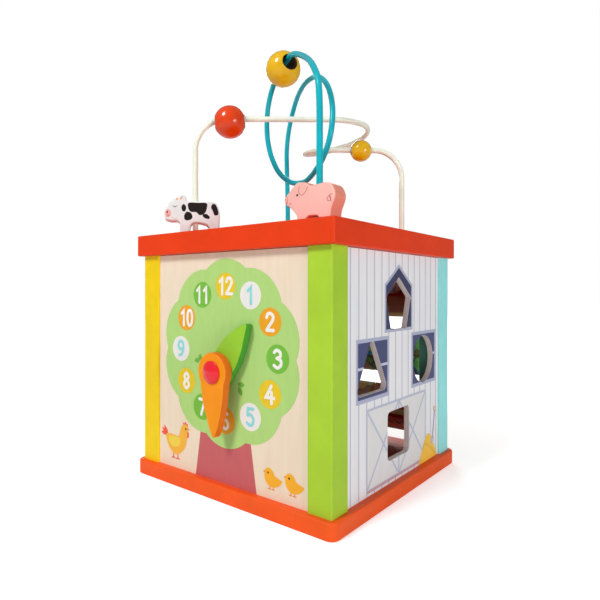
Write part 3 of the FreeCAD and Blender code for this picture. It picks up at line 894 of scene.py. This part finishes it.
ICONS = (sun_icon, flower_icon, apple_icon, carrot_icon, tulip_icon, clover_icon,
         egg_icon, star_icon, mushroom_icon)
GROUNDS = ("6fb8d6", "f0cf4a", "ee8b4a", "9ccb5c", "ee9aa6", "b59ad6")
INSIDE_PICTURES = {     # (row, column, side): ground and picture
    (2, 2, 1): ("e0581f", tiger_icon), (2, 2, 2): ("cc4c20", band_icon),
    (0, 2, 1): ("e0581f", band_icon), (0, 2, 2): ("d8501f", tiger_icon),
    (1, 1, 2): ("c8843a", carrot_icon), (1, 2, 2): ("5a4420", leaves_icon),
    (0, 1, 1): ("e09a7c", crate_icon),
}
SLOT_OF_NODE = {part["node"]: part["material_slot"] for part in frame["record"]["subparts"]}


def side_picture(row, column, side, middle, reach):
    """Picture on one of a block's three sides, reach metres out from its axis."""
    node = "spinner_block_%d%d" % (row + 1, column + 1)
    turn = Matrix.Rotation(math.radians(120 * side), 3, "X")
    out, up = turn @ Y, turn @ Z
    which = row * 3 + column + side * 4
    usual = (GROUNDS[which % len(GROUNDS)], ICONS[which % len(ICONS)])
    ground, icon = INSIDE_PICTURES.get((row, column, side), usual)
    art = Print("picture_%d%d_%d" % (row + 1, column + 1, side + 1))
    art.patch(rounded(rectangle(-TILE_U, -TILE_V, TILE_U, TILE_V), 1.0), ink(ground))
    icon(art)
    art.place(face_matrix(middle + out * reach, up.cross(out), up), node, SLOT_OF_NODE[node])


def end_picture(row, spot):
    """Green print with a spiral of dots on the row's end face towards the sorting side."""
    node = "spinner_block_%d3" % (row + 1)
    art = Print("picture_%d3_end" % (row + 1))
    art.patch(rounded(arc_points((0, 0), 22.5, 60, 420, 3)[:-1], 1.5), ink("9ce056"))
    for k in range(12):
        dot = polar((0, 0), 2.88 + 0.6 * k, math.degrees(2.4 * k))
        art.patch(circle(dot, 0.8, 12), ink("c2409a"), 1)
    art.place(face_matrix(spot, Y, Z), node, SLOT_OF_NODE[node])


def spinner_prints():
    for row in range(3):
        rod_low, rod_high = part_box("spinner_rod_%d" % (row + 1))
        axis_y, axis_z = (rod_low.y + rod_high.y) / 2, (rod_low.z + rod_high.z) / 2
        for column in range(3):
            low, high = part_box("spinner_block_%d%d" % (row + 1, column + 1))
            middle = Vector(((low.x + high.x) / 2, axis_y, axis_z))
            for side in range(3):
                side_picture(row, column, side, middle, high.y - axis_y)
        end_picture(row, Vector((high.x, axis_y, axis_z)))


# ---------------------------------------------------------------- animals on the maze
ANIMAL_T = 14.5         # thickness of an animal, mm
COW_TURN = 48.1         # degrees about its wire
WIRE_LEG = 65.0         # distance of a wire's leg from the object's axes, mm


def mirrored(points, s):
    """The points as they are for s = 1, or swapped left to right for s = -1."""
    return [(u * s, v) for u, v in points]


def animal_faces(leg, turn_deg):
    """The two flat sides of a cut-out animal: (matrix, sign of its length axis)."""
    turn = Matrix.Rotation(math.radians(turn_deg), 3, "Z")
    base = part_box("pig")[0].z
    faces = []
    for sign in (1, -1):
        right, out = turn @ (X * sign), turn @ (Y * -sign)
        origin = Vector((leg[0], leg[1], base)) + out * (ANIMAL_T / 2 * MM)
        faces.append((face_matrix(origin, right, Z), sign))
    return faces


def pig_marks(art, s):
    """Face, ear and curly tail; s is -1 on the far side."""
    rose, dark = ink("c9706a"), ink("2c1c18")
    art.patch(circle((-14.3 * s, 21.6), 0.85, 18), dark)
    ear = smooth([(-12.4, 27.4), (-13.2, 24), (-10.6, 21.2), (-7, 23.2), (-5.4, 26.6)])
    art.ribbon(mirrored(ear, s), 0.45, rose)
    art.patch(ellipse((-25.0 * s, 19.6), 0.35, 0.8, 14), rose)
    art.patch(ellipse((-24.2 * s, 17.2), 0.3, 0.7, 14), rose)
    snout = smooth([(-24.0, 22.2), (-23.2, 19.4), (-23.4, 16.2)])
    art.ribbon(mirrored(snout, s), 0.4, rose)
    mouth = smooth([(-21.4, 15.4), (-20.6, 16.4), (-19.6, 16.2)])
    art.ribbon(mirrored(mouth, s), 0.45, rose)
    curl = smooth([(15.4, 19.2), (13.2, 18.6), (11.2, 16.8), (11.8, 14.9), (13.7, 15.0), (14.0, 16.9),
                   (12.9, 18.4), (14.4, 14.6)])
    art.ribbon(mirrored(curl, s), 0.45, rose)


COW_PATCHES = [
    [(-10.2, 26.9), (-8.2, 25.6), (-8.0, 22.6), (-9.4, 20.6), (-11.2, 21.6), (-11.8, 24.6)],
    [(-5.6, 28.1), (2, 28.3), (9.4, 28.1), (9.4, 23.2), (7.6, 19.4), (3.6, 17.8), (0.6, 20.2),
     (-4.0, 20.6), (-6.2, 24.0)],
    [(14.6, 27.6), (17.0, 27.0), (18.9, 22.6), (19.2, 18.6), (16.2, 18.0), (14.8, 21.4), (13.2, 24.6)],
    [(-6.8, 20.6), (-3.6, 19.2), (-2.6, 15.6), (-5.2, 13.4), (-8.8, 13.6), (-9.6, 16.6), (-8.6, 19.2)],
    [(6.4, 18.6), (9.4, 18.8), (12.0, 16.6), (11.4, 14.8), (8.2, 15.2), (6.2, 16.8)],
]


def cow_marks(art, s):
    """Black patches and a sleepy face; s is -1 on the far side."""
    black, pink, dark = ink("1f1718"), ink("f4b3ab"), ink("3a2c2a")
    for patch in COW_PATCHES:
        art.patch(smooth(mirrored(patch, s), True, 5), black)
    muzzle = [(-25.3, 19.8), (-24.0, 22.0), (-21.7, 21.8), (-20.5, 19.4), (-21.1, 16.7), (-23.2, 15.3),
              (-24.9, 16.6)]
    art.patch(smooth(mirrored(muzzle, s), True, 5), pink)
    art.patch(ellipse((-23.7 * s, 19.9), 0.7, 0.85, 16), dark, 1)
    smile = smooth([(-23.6, 17.4), (-22.9, 16.7), (-22.2, 17.2)])
    art.ribbon(mirrored(smile, s), 0.5, ink("c9574e"), 1)
    lid = smooth([(-18.8, 25.2), (-17.4, 24.3), (-15.8, 25.3)])
    art.ribbon(mirrored(lid, s), 0.5, dark)
    horn = [(-17.2, 30.2), (-15.0, 30.6), (-14.6, 32.2), (-16.0, 31.8)]
    art.patch(rounded(mirrored(horn, s)[::s], 0.4, 3), ink("efb63c"))
    art.patch(leaf_shape((-12.6 * s, 30.4), (-11.4 * s, 33.8), 0.8), pink)
    chin = smooth([(-20.2, 15.6), (-17.6, 14.6), (-15.0, 15.2)])
    art.ribbon(mirrored(chin, s), 0.4, ink("e9a59c"))


def animal_prints():
    leg = WIRE_LEG * MM
    for name, marks, leg_x, turn in (("pig", pig_marks, leg, 0.0), ("cow", cow_marks, -leg, COW_TURN)):
        for matrix, s in animal_faces((leg_x, -leg), turn):
            art = Print("%s_marks_%s" % (name, "front" if s > 0 else "back"))
            marks(art, s)
            art.place(matrix, name, SLOT_OF_NODE[name])


# ---------------------------------------------------------------- finishes of the CAD nodes
def finish_nodes():
    """One material for each CAD node."""
    posts = {"post_yellow": "f2cf1c", "post_green": "add43e", "post_cyan": "9eeceb",
             "post_orange": "f29a34"}
    looks = {name: painted_wood("paint_" + name, code) for name, code in posts.items()}
    looks["base_board"] = painted_wood("paint_base", "f8602a", "x")
    looks["top_board"] = painted_wood("paint_top", "ea4420", "x")
    looks["clock_panel"] = panel_face("panel_clock", "efddc7", "ead7bd", 1, -1)
    looks["sorter_panel"] = panel_face("panel_sorter", "f1f1f4", "ebebee", 0, 1, 0.02)
    looks["meadow_panel"] = panel_face("panel_meadow", "d3eaf0", "cce5ed", 0, -1, 0.02)
    # The darker edge colours of the carrot and the leaf are painted shade on their sides.
    looks["minute_hand"] = painted_wood("paint_carrot", "f9961e", shaded_edge_code="e8742a")
    looks["hour_hand"] = painted_wood("paint_leaf", "98cc3c", shaded_edge_code="52a03f")
    looks["clock_knob"] = lacquer("lacquer_knob", "ee2f3a", 0.18)
    beads = (("bead_red", "ea4a20", 5.9), ("bead_yellow_large", "eebb1c", 7.1),
             ("bead_yellow_small", "eebb1c", 3.7))
    for node, code, bore in beads:
        looks[node] = lacquer("lacquer_" + node, code, bore=(node, bore))
    looks["wire_teal"] = coated_wire("coat_teal", "00b3c1")
    looks["wire_cream"] = coated_wire("coat_cream", "f3f7e6")
    # The pig's darker, redder edge colour is painted shade, tinted like bounce from the red board.
    looks["pig"] = painted_wood("paint_pig", "fcc6bc", shaded_edge_code="f29a86")
    looks["cow"] = painted_wood("paint_cow", "eef2f1")
    lengthways = ("spinner_rod_1", "spinner_rod_2", "spinner_rod_3", "spinner_spacers")
    looks.update(dict.fromkeys(lengthways, bare_wood("wood_plain", "x")))
    upright = ("lid_dowels", "hand_washer", "clock_spindle")
    looks.update(dict.fromkeys(upright, bare_wood("wood_upright", "z")))
    looks["base_screws"] = steel("screw_steel")
    block_colours = {"block_red": "d8402c", "block_yellow": "efc52a", "block_green": "7dba44",
                     "block_blue": "4aa6c8"}
    blocks = {slot: painted_wood("paint_" + slot, code, "x") for slot, code in block_colours.items()}
    for node in NODES:
        if node not in looks:
            looks[node] = blocks[SLOT_OF_NODE[node]]
    for node, material in looks.items():
        mesh = NODES[node].data
        mesh.materials.clear()
        mesh.materials.append(material)


# ---------------------------------------------------------------- camera, light and floor
VIEW_TURN = (90.051, -0.063, 39.566)    # degrees: all but level, round from the clock side
EYE = Vector((0.27302, -0.36790, 0.15609))      # where the camera stands, metres
LENS, SENSOR = 31.066, 36.0             # mm
SHIFT = (0.04427, -0.01742)


def add_camera():
    data = bpy.data.cameras.new("camera")
    data.lens = LENS
    data.sensor_width = SENSOR
    data.shift_x, data.shift_y = SHIFT
    data.clip_start = 0.01
    camera = bpy.data.objects.new("camera", data)
    camera.location = EYE
    camera.rotation_euler = [math.radians(angle) for angle in VIEW_TURN]
    bpy.context.scene.collection.objects.link(camera)
    bpy.context.scene.camera = camera


AIM = Vector((0, 0, 0.15))      # middle of the cube, metres
LIGHTS = (      # name, way from the cube, distance and size in metres, watts
    ("key", (-0.12, -0.72, 0.68), 2.2, (0.45, 0.6), 30),
    ("fill", (0.95, -0.22, 0.01), 1.8, (0.5, 0.3), 10.8),
    ("back", (-0.60, 0.75, 0.40), 2.4, (1.0, 0.8), 22),
)


def add_area_light(name, way, distance, size, watts):
    """Rectangular softbox that looks back along way at the middle of the cube."""
    data = bpy.data.lights.new(name, "AREA")
    data.shape = "RECTANGLE"
    data.size, data.size_y = size
    data.energy = watts
    light = bpy.data.objects.new(name, data)
    out = Vector(way).normalized()
    light.location = AIM + out * distance
    light.rotation_euler = (-out).to_track_quat("-Z", "Y").to_euler()
    bpy.context.scene.collection.objects.link(light)


WHITE = (1, 1, 1, 1)
SKY_SEEN, SKY_LIGHT = 1.0, 0.28     # brightness of the backdrop, and of the light it gives
FLOOR_HALF = 6.0                    # metres
FLOOR_DARK, FLOOR_LIGHT = (0.81, 0.81, 0.81), (0.85, 0.85, 0.85)
# Floor glow by distance from the cube: weaker near it, as painted shade round the base.
GLOW_AND_BASE_SHADE = {"From Min": 0.16, "From Max": 0.7, "To Min": 0.54, "To Max": 0.86}  # metres out, and strength


def show_or_light(tree, shown, lighting, output):
    """One shader to look at, another for the light that it sends to the object."""
    path = tree.nodes.new("ShaderNodeLightPath")
    choose = tree.nodes.new("ShaderNodeMixShader")
    tree.links.new(path.outputs["Is Camera Ray"], choose.inputs["Fac"])
    tree.links.new(lighting.outputs[0], choose.inputs[1])
    tree.links.new(shown.outputs[0], choose.inputs[2])
    tree.links.new(choose.outputs[0], output.inputs["Surface"])


def add_world():
    """Plain white studio: bright to look at, softer as a source of light."""
    world = bpy.data.worlds.new("studio")
    world.use_nodes = True
    tree = world.node_tree
    sky = tree.nodes["Background"]
    set_sockets(sky, {"Color": WHITE, "Strength": SKY_LIGHT})
    backdrop = tree.nodes.new("ShaderNodeBackground")
    set_sockets(backdrop, {"Color": WHITE, "Strength": SKY_SEEN})
    show_or_light(tree, backdrop, sky, tree.nodes["World Output"])
    bpy.context.scene.world = world


def floor_material():
    """Matt white that glows a little more with distance, so that the floor fades into the backdrop; the
    weaker glow near the cube is painted shade round its base.
    """
    material, tree, shader = new_material("pale_floor")
    shade = noise(tree, object_coords(tree), 2.0, 2.0)
    tint = ramp(tree, shade, [(0.3, FLOOR_DARK), (0.7, FLOOR_LIGHT)])
    tree.links.new(tint, shader.inputs["Base Color"])
    set_sockets(shader, {"Roughness": 0.9, "Specular IOR Level": 0.1, "Emission Color": WHITE})
    reach = tree.nodes.new("ShaderNodeVectorMath")
    reach.operation = "LENGTH"
    tree.links.new(object_coords(tree), reach.inputs[0])
    glow = tree.nodes.new("ShaderNodeMapRange")
    set_sockets(glow, GLOW_AND_BASE_SHADE)
    tree.links.new(reach.outputs["Value"], glow.inputs["Value"])
    tree.links.new(glow.outputs["Result"], shader.inputs["Emission Strength"])
    matt = tree.nodes.new("ShaderNodeBsdfDiffuse")
    matt.inputs["Color"].default_value = (*FLOOR_LIGHT, 1)
    show_or_light(tree, shader, matt, tree.nodes["Material Output"])
    return material


def add_stage():
    add_world()
    bpy.context.scene.view_settings.view_transform = "Standard"
    for light in LIGHTS:
        add_area_light(*light)
    floor_mesh = bpy.data.meshes.new("floor")
    corners = [(x * FLOOR_HALF, y * FLOOR_HALF, FLOOR_Z) for x, y in ((-1, -1), (1, -1), (1, 1), (-1, 1))]
    floor_mesh.from_pydata(corners, [], [(0, 1, 2, 3)])
    floor = bpy.data.objects.new("floor", floor_mesh)
    bpy.context.scene.collection.objects.link(floor)
    floor_mesh.materials.append(floor_material())


add_camera()
add_stage()
finish_nodes()
clock_dial()
farm_birds()
sorter_print()
meadow_print()
spinner_prints()
animal_prints()
